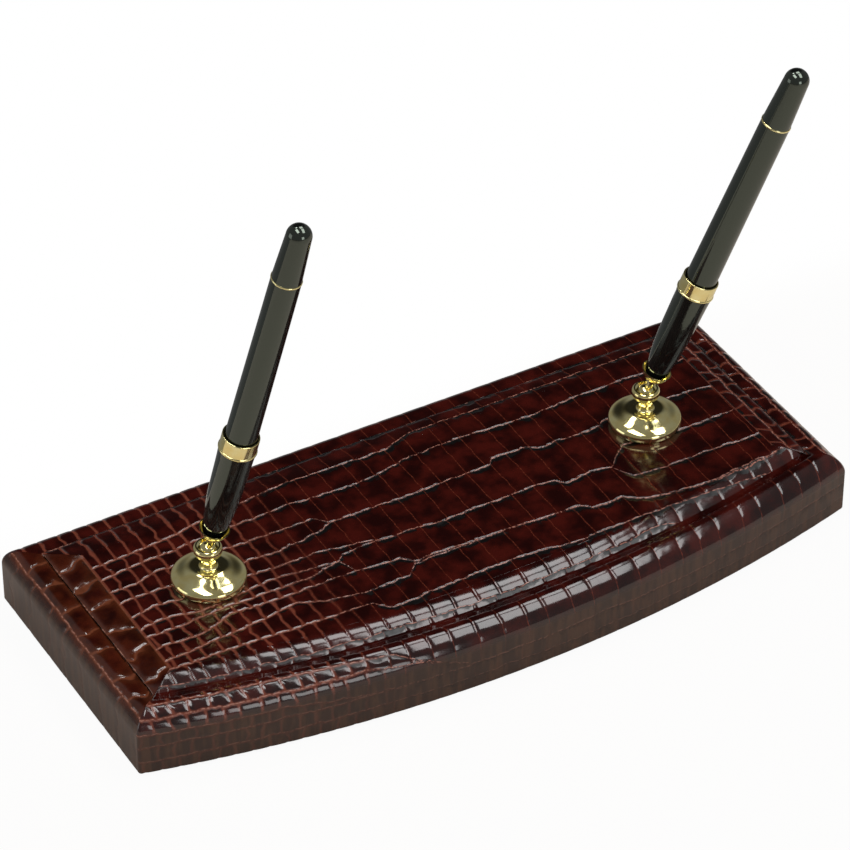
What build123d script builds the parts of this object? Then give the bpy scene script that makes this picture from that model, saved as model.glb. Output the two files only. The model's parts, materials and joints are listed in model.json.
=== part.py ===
from build123d import *
import os
from math import atan2, cos, radians, sin, sqrt

# A double pen stand: a leather-covered block with a bowed front and a double-roll edge moulding.
# Two swivelling gold holders stand on it, each a black funnel on a ball joint with a pen in it.
# Millimetres, +Z up. The origin is on the table below the middle of the block's bounding box.
# X runs along the block and the bowed front looks towards -Y.

# Block, measured over the leather
base_width = 280.0
side_depth = 104.1
front_bow = 18.1
face_height = 16.7
outer_roll_width = 7.0
outer_roll_height = 7.3
outer_roll_back_width = 4.0
outer_roll_back_drop = 2.7
inner_roll_width = 10.0
inner_roll_rise = 4.5
crease_half_width = 0.2
foot_round = 1.0
foot_steps = 3
roll_steps = 6
roll_back_steps = 3
leather_thickness = 1.2
turn_in_width = 14.0
board_gap = 0.3
felt_thickness = 0.8
felt_margin = 3.0

# Places of the two holders, and how each funnel leans at rest (degrees)
holder_end_margin = 52.9
holder_setback = 6.9
left_lean = 14.2
left_heading = -47.8
right_lean = 18.8
right_heading = -35.5

# Holder's foot, with heights above the top of the leather
disc_radius = 13.1
disc_foot_radius = 12.5
disc_edge_height = 2.1
disc_shoulder_radius = 12.2
disc_shoulder_height = 3.7
disc_brow_radius = 8.4
disc_brow_height = 5.5
neck_foot_radius = 4.4
neck_foot_height = 6.65
neck_radius = 2.7
neck_height = 8.8
ball_height = 12.8
cup_waist_radius = 3.4
cup_waist_drop = 1.9
boss_radius = 4.0
boss_length = 6.0
boss_clearance = 0.2

# Ball joint, with heights above or below the ball's centre
ball_radius = 3.5
socket_clearance = 0.1
spigot_wall = 0.6
collar_wall = 0.5
collar_bulge = 0.3
collar_taper = 0.45
collar_rim_width = 0.55
collar_foot_drop = 0.6
collar_belly_height = 1.2
collar_top_height = 2.5
lip_reach = 0.4
lip_height = 1.8
lip_land = 0.15
spigot_height = 0.7
spigot_end_gap = 0.05
thread_clearance = 0.05
seat_radius = 1.95
seat_height = 2.6
seat_clearance = 0.05
spring_height = 1.2
spring_thickness = 0.3
spring_bore_radius = 0.8
spring_play = 0.05

# Screw stack that draws the holder down from below
screw_radius = 2.0
screw_hole_clearance = 0.3
screw_engagement = 5.4
tapped_depth = 6.5
head_radius = 3.6
head_height = 2.5
head_round = 0.75
recess_length = 4.4
recess_width = 0.9
recess_depth = 1.4
washer_radius = 4.5
washer_thickness = 0.8
lock_washer_radius = 3.8
lock_washer_thickness = 0.9
lock_washer_slit = 0.8
lock_washer_slant = 30
washer_bore_clearance = 0.2
counterbore_radius = 6.0
counterbore_depth = 10.6

# Funnel and its mountings: heights above the cup's underside unless another place is named
stud_radius = 1.3
stud_length = 6.2
stud_thread_radius = 1.0
stud_end_gap = 0.6
flange_radius = 2.2
flange_thickness = 0.8
cup_base_radius = 2.4
cup_belly_radius = 4.35
cup_belly_height = 1.9
cup_rim_radius = 5.4
cup_height = 4.2
cup_thickness = 0.35
funnel_gap = 0.06
funnel_foot_radius = 1.9
funnel_sole_radius = 3.3
funnel_sole_height = 2.3
funnel_heel_radius = 4.0
funnel_heel_height = 4.6
funnel_low_radius = 5.25
funnel_low_height = 13.0
funnel_waist_radius = 6.0
funnel_waist_height = 29.0
funnel_height = 41.5
funnel_floor_height = 7.0
funnel_bore_depth = 5.5
mouth_gap = 0.25
mouth_wall = 0.25
shoulder_step = 0.3
mouth_spigot_length = 3.5
bead_height = 1.0
bead_rise = 0.35
band_height = 5.4
band_wall = 0.36
band_gap = 0.3
band_edge_round = 0.25
liner_length = 20.0
liner_top_radius = 4.75
liner_low_radius = 3.6
liner_wall_gap = 0.06

# Pen
pen_fit = 0.15
nib_floor_gap = 0.6
nib_radius = 0.5
nib_length = 1.6
nib_reach = 0.8
refill_nose_radius = 1.15
refill_nose_length = 7.9
refill_radius = 1.55
refill_end_gap = 6.4
refill_clearance = 0.1
cone_mouth_radius = 0.9
cone_length = 3.6
cone_top_radius = 2.4
cone_spigot_radius = 2.0
cone_spigot_length = 2.5
section_length = 28.0
section_top_radius = 4.9
coupling_radius = 3.6
coupling_bore_radius = 2.2
coupling_reach = 5.0
barrel_foot_radius = 5.2
barrel_foot_height = 2.0
barrel_radius = 5.6
barrel_length = 77.4
barrel_top_radius = 5.15
barrel_bore_radius = 3.2
pen_ring_thickness = 0.8
pen_ring_rise = 0.2
cap_foot_step = 0.05
cap_length = 17.8
cap_shoulder_radius = 4.35
cap_dome_height = 4.5
cap_plug_length = 6.0

# Heights and insets that follow from the sizes above
leather_low = felt_thickness
crest_inset = outer_roll_width
valley_inset = crest_inset + outer_roll_back_width
plateau_inset = valley_inset + inner_roll_width
crest_height = leather_low + face_height + outer_roll_height
valley_height = crest_height - outer_roll_back_drop
plateau_height = valley_height + inner_roll_rise
base_depth = side_depth + front_bow
bow_radius = (base_width**2 / 4 + front_bow**2) / (2 * front_bow)
bow_centre = bow_radius - base_depth / 2
core_low = leather_low + leather_thickness

# Distances along the funnel's axis from the ball's centre, and radii that follow from others
flange_low = stud_length
cup_low = flange_low + flange_thickness
cup_belly = cup_low + cup_belly_height
cup_rim = cup_low + cup_height
funnel_foot = cup_low + cup_thickness + funnel_gap
funnel_sole = cup_low + funnel_sole_height
funnel_heel = cup_low + funnel_heel_height
funnel_low = cup_low + funnel_low_height
funnel_waist = cup_low + funnel_waist_height
funnel_shoulder = cup_low + funnel_height
funnel_floor = cup_low + funnel_floor_height
mouth_spigot_top = funnel_shoulder + mouth_spigot_length
funnel_bore_low = mouth_spigot_top - funnel_bore_depth
funnel_bore_radius = barrel_radius + mouth_gap
mouth_spigot_radius = funnel_bore_radius + mouth_wall
funnel_shoulder_radius = mouth_spigot_radius + shoulder_step
band_low = funnel_shoulder + bead_height
band_lip = band_low + band_height
band_radius = mouth_spigot_radius + band_wall
band_bore_radius = barrel_radius + band_gap
bead_radius = funnel_shoulder_radius + bead_rise
liner_top = funnel_floor + liner_length
thread_hole_radius = stud_thread_radius + thread_clearance
nib_point = funnel_floor + nib_floor_gap
cone_mouth = nib_point + nib_reach
cone_top = cone_mouth + cone_length
refill_nose_top = nib_point + refill_nose_length
section_top = cone_top + section_length
barrel_widest = section_top + barrel_foot_height
barrel_top = section_top + barrel_length
pen_ring_top = barrel_top + pen_ring_thickness
pen_ring_radius = barrel_top_radius + pen_ring_rise
cap_foot_radius = barrel_top_radius - cap_foot_step
cap_shoulder = pen_ring_top + cap_length
cap_plug_low = barrel_top - cap_plug_length
pen_end = cap_shoulder + cap_dome_height
refill_top = cap_plug_low - refill_end_gap


def outline(inset, height):
    """The block's plan moved in by an inset all round, at a height: three straight sides and the bow."""
    half = base_width / 2 - inset
    back = base_depth / 2 - inset
    radius = bow_radius - inset
    corner = bow_centre - sqrt(radius**2 - half**2)
    front = ThreePointArc((-half, corner), (0, bow_centre - radius), (half, corner))
    sides = Polyline((half, corner), (half, back), (-half, back), (-half, corner))
    return Pos(0, 0, height) * make_face([front, *sides.edges()])


def stack(rings):
    """A solid through outlines given as (inset, height), one above another."""
    return loft([outline(inset, height) for inset, height in rings], ruled=True)


def quarter(steps):
    """Angles in equal steps from 0 to 90 degrees, ends included."""
    return [radians(90 * k / steps) for k in range(steps + 1)]


def moulding(skin, low, foot):
    """The block with its two rolls, a skin's thickness inside the leather, from a height upwards.
    Each roll is a quarter ellipse, foot rounds the bottom edge, and a crease parts the rolls."""
    wall = [(skin, low)]
    if foot:
        wall = [(skin + foot * (1 - sin(a)), low + foot * (1 - cos(a))) for a in quarter(foot_steps)]
    for a in quarter(roll_steps):
        inset = crest_inset - (outer_roll_width - skin) * cos(a)
        wall.append((inset, leather_low + face_height + (outer_roll_height - skin) * sin(a)))
    floor = valley_height - crease_half_width - skin
    reach = crease_half_width + skin
    groove = [(valley_inset - reach, floor)]
    for a in quarter(roll_back_steps):
        inset = crest_inset + (outer_roll_back_width - reach) * cos(a)
        groove.append((inset, valley_height + (outer_roll_back_drop - skin) * sin(a)))
    island = [(valley_inset + reach, floor - crease_half_width)]
    for a in quarter(roll_steps):
        inset = plateau_inset - (inner_roll_width - reach) * cos(a)
        island.append((inset, valley_height + (inner_roll_rise - skin) * sin(a)))
    return stack(wall) - stack(groove) + stack(island)


def up(radius, low, high):
    """A round bar along Z between two heights."""
    return Pos(0, 0, low) * Cylinder(radius, high - low, align=(Align.CENTER, Align.CENTER, Align.MIN))


def turned(*edges):
    """A round piece: a closed profile, drawn as radius and height, turned about Z."""
    return revolve(Plane.XZ * make_face(list(edges)), Axis.Z)


def turned_through(*points):
    """A round piece with a straight-sided profile."""
    return turned(*Polyline(*points, close=True).edges())


def between(height, low, low_value, high, high_value):
    """The value on a straight taper at a height."""
    return low_value + (high_value - low_value) * (height - low) / (high - low)


# Holder: heights from the top of the leather, and radii that follow from the ball's
socket_radius = ball_radius + socket_clearance
seat_bore_radius = seat_radius + seat_clearance
seat_rim = ball_height - sqrt((ball_radius + seat_clearance) ** 2 - seat_radius**2)
seat_low = seat_rim - seat_height
spring_low = seat_low - spring_play - spring_height
collar_foot = ball_height - collar_foot_drop
cup_waist = ball_height - cup_waist_drop
spigot_outer = socket_radius + spigot_wall
spigot_end = ball_height + spigot_height
collar_bore_radius = spigot_outer + thread_clearance
collar_foot_radius = collar_bore_radius + collar_wall
collar_radius = collar_foot_radius + collar_bulge
collar_top_radius = collar_foot_radius - collar_taper
collar_mouth_radius = collar_top_radius - collar_rim_width
lip_radius = ball_radius - lip_reach
tapped_radius = screw_radius + thread_clearance
screw_tip = -boss_length + screw_engagement
counterbore_top = -(plateau_height - core_low) + counterbore_depth
stack_washer = counterbore_top - washer_thickness
stack_lock = stack_washer - lock_washer_thickness
washer_bore = screw_radius + washer_bore_clearance


def holder_dome():
    foot = Line((boss_radius, 0), (disc_foot_radius, 0))
    under = TangentArc((disc_radius, disc_edge_height), (disc_foot_radius, 0), tangent=(0, -1))
    dome = Spline(
        (disc_radius, disc_edge_height),
        (disc_shoulder_radius, disc_shoulder_height),
        (disc_brow_radius, disc_brow_height),
        (neck_foot_radius, neck_foot_height),
        (neck_radius, neck_height),
        tangents=[(0, 1), (0, 1)],
    )
    flare = ThreePointArc(
        (neck_radius, neck_height), (cup_waist_radius, cup_waist), (collar_foot_radius, collar_foot)
    )
    pocket_low = ball_height - sqrt(socket_radius**2 - seat_bore_radius**2)
    middle = sqrt(0.5)
    rim = Polyline(
        (collar_foot_radius, collar_foot),
        (spigot_outer, collar_foot),
        (spigot_outer, spigot_end),
        (socket_radius, spigot_end),
        (socket_radius, ball_height),
    )
    pocket = ThreePointArc(
        (socket_radius, ball_height),
        (socket_radius * middle, ball_height - socket_radius * middle),
        (seat_bore_radius, pocket_low),
    )
    bore = Polyline(
        (seat_bore_radius, pocket_low),
        (seat_bore_radius, spring_low),
        (0, spring_low),
        (0, tapped_depth - boss_length),
        (tapped_radius, tapped_depth - boss_length),
        (tapped_radius, -boss_length),
        (boss_radius, -boss_length),
        (boss_radius, 0),
    )
    return turned(foot, under, dome, flare, *rim.edges(), pocket, *bore.edges())


def collar():
    ceiling = spigot_end + spigot_end_gap
    belly = ball_height + collar_belly_height
    top = ball_height + collar_top_height
    lip = ball_height + lip_height
    throat = sqrt(socket_radius**2 - (ceiling - ball_height) ** 2) + socket_clearance / 2
    lower = TangentArc((collar_radius, belly), (collar_foot_radius, collar_foot), tangent=(0, -1))
    upper = TangentArc((collar_radius, belly), (collar_top_radius, top), tangent=(0, 1))
    inside = Polyline(
        (collar_top_radius, top),
        (collar_mouth_radius, top),
        (lip_radius, lip + lip_land),
        (lip_radius, lip),
        (throat, ceiling),
        (collar_bore_radius, ceiling),
        (collar_bore_radius, collar_foot),
        (collar_foot_radius, collar_foot),
    )
    return turned(lower, upper, *inside.edges())


def ball_seat():
    hollow = Pos(0, 0, ball_height) * Sphere(ball_radius + seat_clearance)
    return up(seat_radius, seat_low, seat_rim) - hollow


def seat_spring():
    wide = seat_radius - seat_clearance
    return turned_through(
        (wide, spring_low),
        (wide, spring_low + spring_thickness),
        (spring_bore_radius, spring_low + spring_height),
        (spring_bore_radius, spring_low + spring_height - spring_thickness),
    )


def holder_screw():
    head = up(head_radius, stack_lock - head_height, stack_lock)
    head = fillet(head.edges().sort_by(Axis.Z)[0], head_round)
    slot = Box(recess_length, recess_width, 2 * recess_depth)
    cross = Pos(0, 0, stack_lock - head_height) * (slot + Rot(0, 0, 90) * slot)
    return head + up(screw_radius, stack_lock, screw_tip) - cross


def washer():
    return up(washer_radius, stack_washer, counterbore_top) - up(washer_bore, stack_washer, counterbore_top)


def lock_washer():
    ring = up(lock_washer_radius, stack_lock, stack_washer) - up(washer_bore, stack_lock, stack_washer)
    slit = Box(lock_washer_radius, lock_washer_slit, 4 * lock_washer_thickness)
    middle = Pos((washer_bore + lock_washer_radius) / 2, 0, (stack_lock + stack_washer) / 2)
    return ring - middle * Rot(lock_washer_slant, 0, 0) * slit


def section_radius(height):
    """The pen's black gripping section tapers straight down to its tip cone."""
    return between(height, cone_top, cone_top_radius, section_top, section_top_radius)


def ball_stud():
    shank = up(stud_radius, 0, flange_low)
    flange = up(flange_radius, flange_low, cup_low)
    thread = up(stud_thread_radius, cup_low, funnel_floor - stud_end_gap)
    return Sphere(ball_radius) + shank + flange + thread


def funnel_cup():
    outside = ThreePointArc(
        (cup_base_radius, cup_low), (cup_belly_radius, cup_belly), (cup_rim_radius, cup_rim)
    )
    rim_inner = cup_rim_radius - cup_thickness
    inside = ThreePointArc(
        (rim_inner, cup_rim),
        (cup_belly_radius - cup_thickness, cup_belly + cup_thickness),
        (cup_base_radius - cup_thickness, cup_low + cup_thickness),
    )
    floor = Polyline(
        (cup_base_radius - cup_thickness, cup_low + cup_thickness),
        (thread_hole_radius, cup_low + cup_thickness),
        (thread_hole_radius, cup_low),
        (cup_base_radius, cup_low),
    )
    return turned(outside, Line((cup_rim_radius, cup_rim), (rim_inner, cup_rim)), inside, *floor.edges())


def funnel():
    heel = ThreePointArc(
        (funnel_foot_radius, funnel_foot), (funnel_sole_radius, funnel_sole), (funnel_heel_radius, funnel_heel)
    )
    side = Spline(
        (funnel_heel_radius, funnel_heel),
        (funnel_low_radius, funnel_low),
        (funnel_waist_radius, funnel_waist),
        (funnel_shoulder_radius, funnel_shoulder),
    )
    seat = liner_low_radius + liner_wall_gap
    inside = Polyline(
        (funnel_shoulder_radius, funnel_shoulder),
        (mouth_spigot_radius, funnel_shoulder),
        (mouth_spigot_radius, mouth_spigot_top),
        (funnel_bore_radius, mouth_spigot_top),
        (funnel_bore_radius, funnel_bore_low),
        (liner_top_radius + liner_wall_gap, liner_top),
        (seat, funnel_floor),
        (thread_hole_radius, funnel_floor),
        (thread_hole_radius, funnel_foot),
        (funnel_foot_radius, funnel_foot),
    )
    return turned(heel, side, *inside.edges())


def funnel_liner():
    return turned_through(
        (liner_low_radius, funnel_floor),
        (liner_top_radius, liner_top),
        (section_radius(liner_top) + pen_fit, liner_top),
        (section_radius(cone_top) + pen_fit, cone_top),
        (cone_mouth_radius + pen_fit, cone_mouth - pen_fit),
        (cone_mouth_radius + pen_fit, funnel_floor),
    )


def funnel_band():
    sleeve = up(band_radius, band_low, band_lip)
    sleeve = fillet(sleeve.edges().sort_by(Axis.Z)[-1], band_edge_round)
    socket = up(mouth_spigot_radius + thread_clearance, band_low, mouth_spigot_top + thread_clearance)
    return sleeve - socket - up(band_bore_radius, band_low, band_lip)


def band_bead():
    inner = mouth_spigot_radius + thread_clearance
    crown = ThreePointArc(
        (funnel_shoulder_radius, funnel_shoulder),
        (bead_radius, (funnel_shoulder + band_low) / 2),
        (funnel_shoulder_radius, band_low),
    )
    back = Polyline(
        (funnel_shoulder_radius, band_low),
        (inner, band_low),
        (inner, funnel_shoulder),
        (funnel_shoulder_radius, funnel_shoulder),
    )
    return turned(crown, *back.edges())


def pen_refill():
    tube = up(refill_radius, refill_nose_top, refill_top)
    nose = up(refill_nose_radius, nib_point + nib_length, refill_nose_top)
    point = Pos(0, 0, nib_point + nib_radius) * Sphere(nib_radius)
    return tube + nose + point + up(nib_radius, nib_point + nib_radius, nib_point + nib_length)


def pen_tip_cone():
    return turned_through(
        (cone_mouth_radius, cone_mouth),
        (cone_top_radius, cone_top),
        (cone_spigot_radius, cone_top),
        (cone_spigot_radius, cone_top + cone_spigot_length),
        (refill_nose_radius + refill_clearance, cone_top + cone_spigot_length),
        (refill_nose_radius + refill_clearance, nib_point + nib_length - refill_clearance),
        (nib_radius + refill_clearance, cone_mouth),
    )


def pen_section():
    coupling_low = section_top - coupling_reach
    spigot_hole = cone_spigot_radius + thread_clearance
    return turned_through(
        (cone_top_radius, cone_top),
        (section_top_radius, section_top),
        (coupling_radius + thread_clearance, section_top),
        (coupling_radius + thread_clearance, coupling_low),
        (refill_radius + refill_clearance, coupling_low),
        (refill_radius + refill_clearance, cone_top + cone_spigot_length + refill_clearance),
        (spigot_hole, cone_top + cone_spigot_length + refill_clearance),
        (spigot_hole, cone_top),
    )


def pen_coupling():
    low = section_top - coupling_reach + refill_clearance
    high = section_top + coupling_reach - refill_clearance
    return up(coupling_radius, low, high) - up(coupling_bore_radius, low, high)


def pen_barrel():
    return turned_through(
        (barrel_foot_radius, section_top),
        (barrel_radius, barrel_widest),
        (barrel_top_radius, barrel_top),
        (barrel_bore_radius, barrel_top),
        (barrel_bore_radius, section_top + coupling_reach),
        (coupling_radius + thread_clearance, section_top + coupling_reach),
        (coupling_radius + thread_clearance, section_top),
    )


def pen_ring():
    middle = (barrel_top + pen_ring_top) / 2
    crown = ThreePointArc(
        (barrel_top_radius, barrel_top), (pen_ring_radius, middle), (barrel_top_radius, pen_ring_top)
    )
    back = Polyline(
        (barrel_top_radius, pen_ring_top),
        (barrel_bore_radius, pen_ring_top),
        (barrel_bore_radius, barrel_top),
        (barrel_top_radius, barrel_top),
    )
    return turned(crown, *back.edges())


def pen_end_cap():
    plug = barrel_bore_radius - thread_clearance
    ball = (cap_shoulder_radius**2 + cap_dome_height**2) / (2 * cap_dome_height)
    half = atan2(cap_shoulder_radius, ball - cap_dome_height) / 2
    crown = (ball * sin(half), pen_end - ball * (1 - cos(half)))
    dome = ThreePointArc((cap_shoulder_radius, cap_shoulder), crown, (0, pen_end))
    body = Polyline(
        (0, pen_end),
        (0, cap_plug_low),
        (plug, cap_plug_low),
        (plug, pen_ring_top),
        (cap_foot_radius, pen_ring_top),
        (cap_shoulder_radius, cap_shoulder),
    )
    return turned(dome, *body.edges())


def leather_cover():
    inside = moulding(leather_thickness, core_low, 0)
    window = stack([(turn_in_width, leather_low), (turn_in_width, core_low)])
    return moulding(0, leather_low, foot_round) - inside - window


def wood_core():
    return moulding(leather_thickness, core_low, 0)


def flat_sheet(inset, low, high):
    """A flat sheet with the block's plan, moved in by an inset."""
    return stack([(inset, low), (inset, high)])


def write(name, shape):
    export_step(shape, f"parts/{name}.step")


def on_base(shape, x):
    """Stands a piece of a holder, drawn from the top of the leather, at its place on the block."""
    return Pos(x, holder_setback, plateau_height) * shape


def leaning(shape, x, lean, heading):
    """Puts a piece drawn upright from the ball's centre at the funnel's lean and heading."""
    return on_base(Pos(0, 0, ball_height) * Rot(0, 0, heading) * Rot(0, lean, 0) * shape, x)


standing_pieces = {
    "holder_dome": holder_dome(),
    "collar": collar(),
    "ball_seat": ball_seat(),
    "seat_spring": seat_spring(),
    "holder_screw": holder_screw(),
    "washer": washer(),
    "lock_washer": lock_washer(),
}
leaning_pieces = {
    "ball_stud": ball_stud(),
    "funnel_cup": funnel_cup(),
    "funnel": funnel(),
    "funnel_liner": funnel_liner(),
    "funnel_band": funnel_band(),
    "band_bead": band_bead(),
    "pen_refill": pen_refill(),
    "pen_tip_cone": pen_tip_cone(),
    "pen_section": pen_section(),
    "pen_coupling": pen_coupling(),
    "pen_barrel": pen_barrel(),
    "pen_ring": pen_ring(),
    "pen_end_cap": pen_end_cap(),
}
holder_x = base_width / 2 - holder_end_margin
holders = [
    ("left", -holder_x, left_lean, left_heading),
    ("right", holder_x, right_lean, right_heading),
]

os.makedirs("parts", exist_ok=True)
cover = leather_cover()
core = wood_core()
for side, x, lean, heading in holders:
    boss_hole = up(boss_radius + boss_clearance, -boss_length - boss_clearance, 0)
    screw_hole = up(screw_radius + screw_hole_clearance, -plateau_height, 0)
    counterbore = up(counterbore_radius, -plateau_height, counterbore_top)
    cover -= on_base(boss_hole, x)
    core -= on_base(boss_hole + screw_hole + counterbore, x)
    for name, piece in standing_pieces.items():
        write(f"{side}_{name}", on_base(piece, x))
    for name, piece in leaning_pieces.items():
        write(f"{side}_{name}", leaning(piece, x, lean, heading))
write("leather_cover", cover)
write("wood_core", core)
write("bottom_board", flat_sheet(turn_in_width + board_gap, leather_low, core_low))
write("felt_pad", flat_sheet(felt_margin, 0, felt_thickness))
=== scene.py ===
import json
from math import pi

import bpy
import numpy as np
from mathutils import Matrix, Vector


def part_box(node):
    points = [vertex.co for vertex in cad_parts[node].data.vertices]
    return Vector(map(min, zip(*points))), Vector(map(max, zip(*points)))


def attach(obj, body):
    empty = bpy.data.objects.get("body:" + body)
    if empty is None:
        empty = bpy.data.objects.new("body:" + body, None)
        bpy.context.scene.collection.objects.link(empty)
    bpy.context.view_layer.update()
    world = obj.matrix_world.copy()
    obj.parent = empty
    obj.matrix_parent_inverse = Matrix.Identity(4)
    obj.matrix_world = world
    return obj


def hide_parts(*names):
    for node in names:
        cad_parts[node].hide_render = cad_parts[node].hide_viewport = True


# A double pen stand with an embossed leather block, two gold swivel holders and two black pens.
# Metres in the frame's own axes. The leather is worked out in millimetres.

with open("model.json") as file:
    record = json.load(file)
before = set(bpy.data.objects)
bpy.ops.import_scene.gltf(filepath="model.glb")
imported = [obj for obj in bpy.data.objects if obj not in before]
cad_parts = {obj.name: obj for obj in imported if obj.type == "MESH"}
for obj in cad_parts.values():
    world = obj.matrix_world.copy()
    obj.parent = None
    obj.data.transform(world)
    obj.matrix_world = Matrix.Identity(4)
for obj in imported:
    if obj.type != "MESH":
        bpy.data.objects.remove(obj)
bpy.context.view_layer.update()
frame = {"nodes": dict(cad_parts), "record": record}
nodes = frame["nodes"]

mm = 0.001


def placed(name, data):
    """A new object with the given mesh, lamp or camera, in the scene."""
    made = bpy.data.objects.new(name, data)
    bpy.context.scene.collection.objects.link(made)
    return made


# Tools for the finishes

class Wire:
    """A number or colour inside a finish, which can be added, multiplied and so on like a number."""

    def __init__(self, finish, socket):
        self.finish = finish
        self.socket = socket

    def maths(self, operation, first, second=0.0):
        node = self.finish.node("ShaderNodeMath", {"operation": operation}, first, second)
        return Wire(self.finish, node.outputs[0])

    def __add__(self, other):
        return self.maths("ADD", self, other)

    __radd__ = __add__

    def __sub__(self, other):
        return self.maths("SUBTRACT", self, other)

    def __rsub__(self, other):
        return self.maths("SUBTRACT", other, self)

    def __mul__(self, other):
        return self.maths("MULTIPLY", self, other)

    __rmul__ = __mul__

    def __rtruediv__(self, other):
        return self.maths("DIVIDE", other, self)

    def __pow__(self, other):
        return self.maths("POWER", self, other)

    def step(self, low, high):
        """0 at low, 1 at high, smooth between. High may be the smaller one."""
        settings = {"interpolation_type": "SMOOTHSTEP"}
        node = self.finish.node("ShaderNodeMapRange", settings, self, low, high)
        return Wire(self.finish, node.outputs[0])

    def size(self):
        return self.maths("ABSOLUTE", self)

    def at_least(self, other):
        return self.maths("MAXIMUM", self, other)

    def clamp(self):
        return self.maths("MINIMUM", self.at_least(0.0), 1.0)


class Finish:
    """A material around one Principled shader, whose changing inputs are wired from formulas."""

    def __init__(self, name, **constants):
        self.material = bpy.data.materials.new(name)
        self.material.use_nodes = True
        self.tree = self.material.node_tree
        self.shader = self.tree.nodes["Principled BSDF"]
        for socket, value in constants.items():
            self.shader.inputs[socket.replace("_", " ")].default_value = value

    def node(self, kind, settings=None, *values, **named):
        """Adds a node: first its settings, then the values or wires of its sockets."""
        node = self.tree.nodes.new(kind)
        for key, value in (settings or {}).items():
            setattr(node, key, value)
        for key, value in [*enumerate(values), *named.items()]:
            socket = node.inputs[key.replace("_", " ") if isinstance(key, str) else key]
            if isinstance(value, Wire):
                self.tree.links.new(value.socket, socket)
            else:
                socket.default_value = value
        return node

    def place(self):
        """The point of the surface in metres, in the frame's axes at rest."""
        return Wire(self, self.node("ShaderNodeTexCoord").outputs["Object"])

    def attribute(self, name):
        return Wire(self, self.node("ShaderNodeAttribute", {"attribute_name": name}).outputs["Fac"])

    def noise(self, size, detail=3.0, roughness=0.5, stretch=None):
        """Cloudy values from 0 to 1 whose spots are about the given size in millimetres."""
        vector = self.place()
        if stretch:
            scaled = self.node("ShaderNodeVectorMath", {"operation": "MULTIPLY"}, vector, stretch)
            vector = Wire(self, scaled.outputs[0])
        node = self.node(
            "ShaderNodeTexNoise", {}, Vector=vector, Scale=1 / (size * mm), Detail=detail, Roughness=roughness
        )
        return Wire(self, node.outputs["Fac"])

    def blend(self, amount, low, high):
        """A colour between two others, which may be colours or wires. Inputs 0, 6 and 7 of the mix node
        are its factor and its two colours, and output 2 is the mixed colour."""
        node = self.node("ShaderNodeMix", {"data_type": "RGBA"})
        for index, value in ((0, amount), (6, low), (7, high)):
            if isinstance(value, Wire):
                self.tree.links.new(value.socket, node.inputs[index])
            elif isinstance(value, tuple):
                node.inputs[index].default_value = (*value, 1.0)
            else:
                node.inputs[index].default_value = value
        return Wire(self, node.outputs[2])

    def set(self, socket, wire):
        self.tree.links.new(wire.socket, self.shader.inputs[socket])

    def relief(self, height, depth):
        """Fine relief from a value: depth in millimetres for a value of 1."""
        node = self.node("ShaderNodeBump", {}, Strength=1.0, Distance=depth * mm, Height=height)
        self.set("Normal", Wire(self, node.outputs["Normal"]))


# Finishes of the CAD nodes

def gold_finish():
    """Bright gold plate: a pale greenish yellow with slight clouding."""
    gold = Finish("gold_plate", Metallic=1.0)
    cloud = gold.noise(size=4.0)
    gold.set("Base Color", gold.blend(cloud.step(0.3, 0.7), (0.95, 0.80, 0.34), (1.0, 0.92, 0.48)))
    gold.set("Roughness", 0.06 + 0.06 * cloud)
    return gold.material


def black_gloss_finish():
    """Black lacquer of the pens and funnels, whose highlights are slightly green."""
    black = Finish("black_lacquer", IOR=1.9, Specular_Tint=(0.86, 1.0, 0.84, 1.0))
    cloud = black.noise(size=6.0)
    black.set("Base Color", black.blend(cloud, (0.0025, 0.0028, 0.003), (0.006, 0.0065, 0.006)))
    black.set("Roughness", 0.05 + 0.06 * cloud)
    return black.material


def black_matte_finish():
    black = Finish("black_moulding")
    cloud = black.noise(size=2.0)
    black.set("Base Color", black.blend(cloud, (0.008, 0.008, 0.008), (0.02, 0.02, 0.02)))
    black.set("Roughness", 0.4 + 0.2 * cloud)
    return black.material


def steel_finish():
    steel = Finish("zinc_steel", Metallic=1.0)
    cloud = steel.noise(size=1.5)
    steel.set("Base Color", steel.blend(cloud, (0.45, 0.46, 0.48), (0.65, 0.65, 0.66)))
    steel.set("Roughness", 0.25 + 0.2 * cloud)
    return steel.material


def nylon_finish():
    nylon = Finish("white_nylon")
    cloud = nylon.noise(size=1.5)
    nylon.set("Base Color", nylon.blend(cloud, (0.62, 0.60, 0.54), (0.74, 0.72, 0.67)))
    nylon.set("Roughness", 0.35 + 0.2 * cloud)
    return nylon.material


def wood_finish():
    """Pale wood with its grain along the block."""
    wood = Finish("pale_board")
    grain = wood.noise(size=2.0, stretch=(0.06, 1.0, 1.0))
    wood.set("Base Color", wood.blend(grain, (0.34, 0.21, 0.11), (0.52, 0.36, 0.21)))
    wood.set("Roughness", 0.6 + 0.2 * grain)
    wood.relief(grain, depth=0.1)
    return wood.material


def felt_finish():
    felt = Finish("dark_felt", Sheen_Weight=0.5)
    fibre = felt.noise(size=0.5, detail=6.0, roughness=0.7)
    felt.set("Base Color", felt.blend(fibre, (0.012, 0.012, 0.012), (0.04, 0.037, 0.035)))
    felt.set("Roughness", 0.85 + 0.1 * fibre)
    felt.relief(fibre, depth=0.4)
    return felt.material


# Finish of the leather: its colours, of which a pair runs from the darker to the paler

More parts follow.
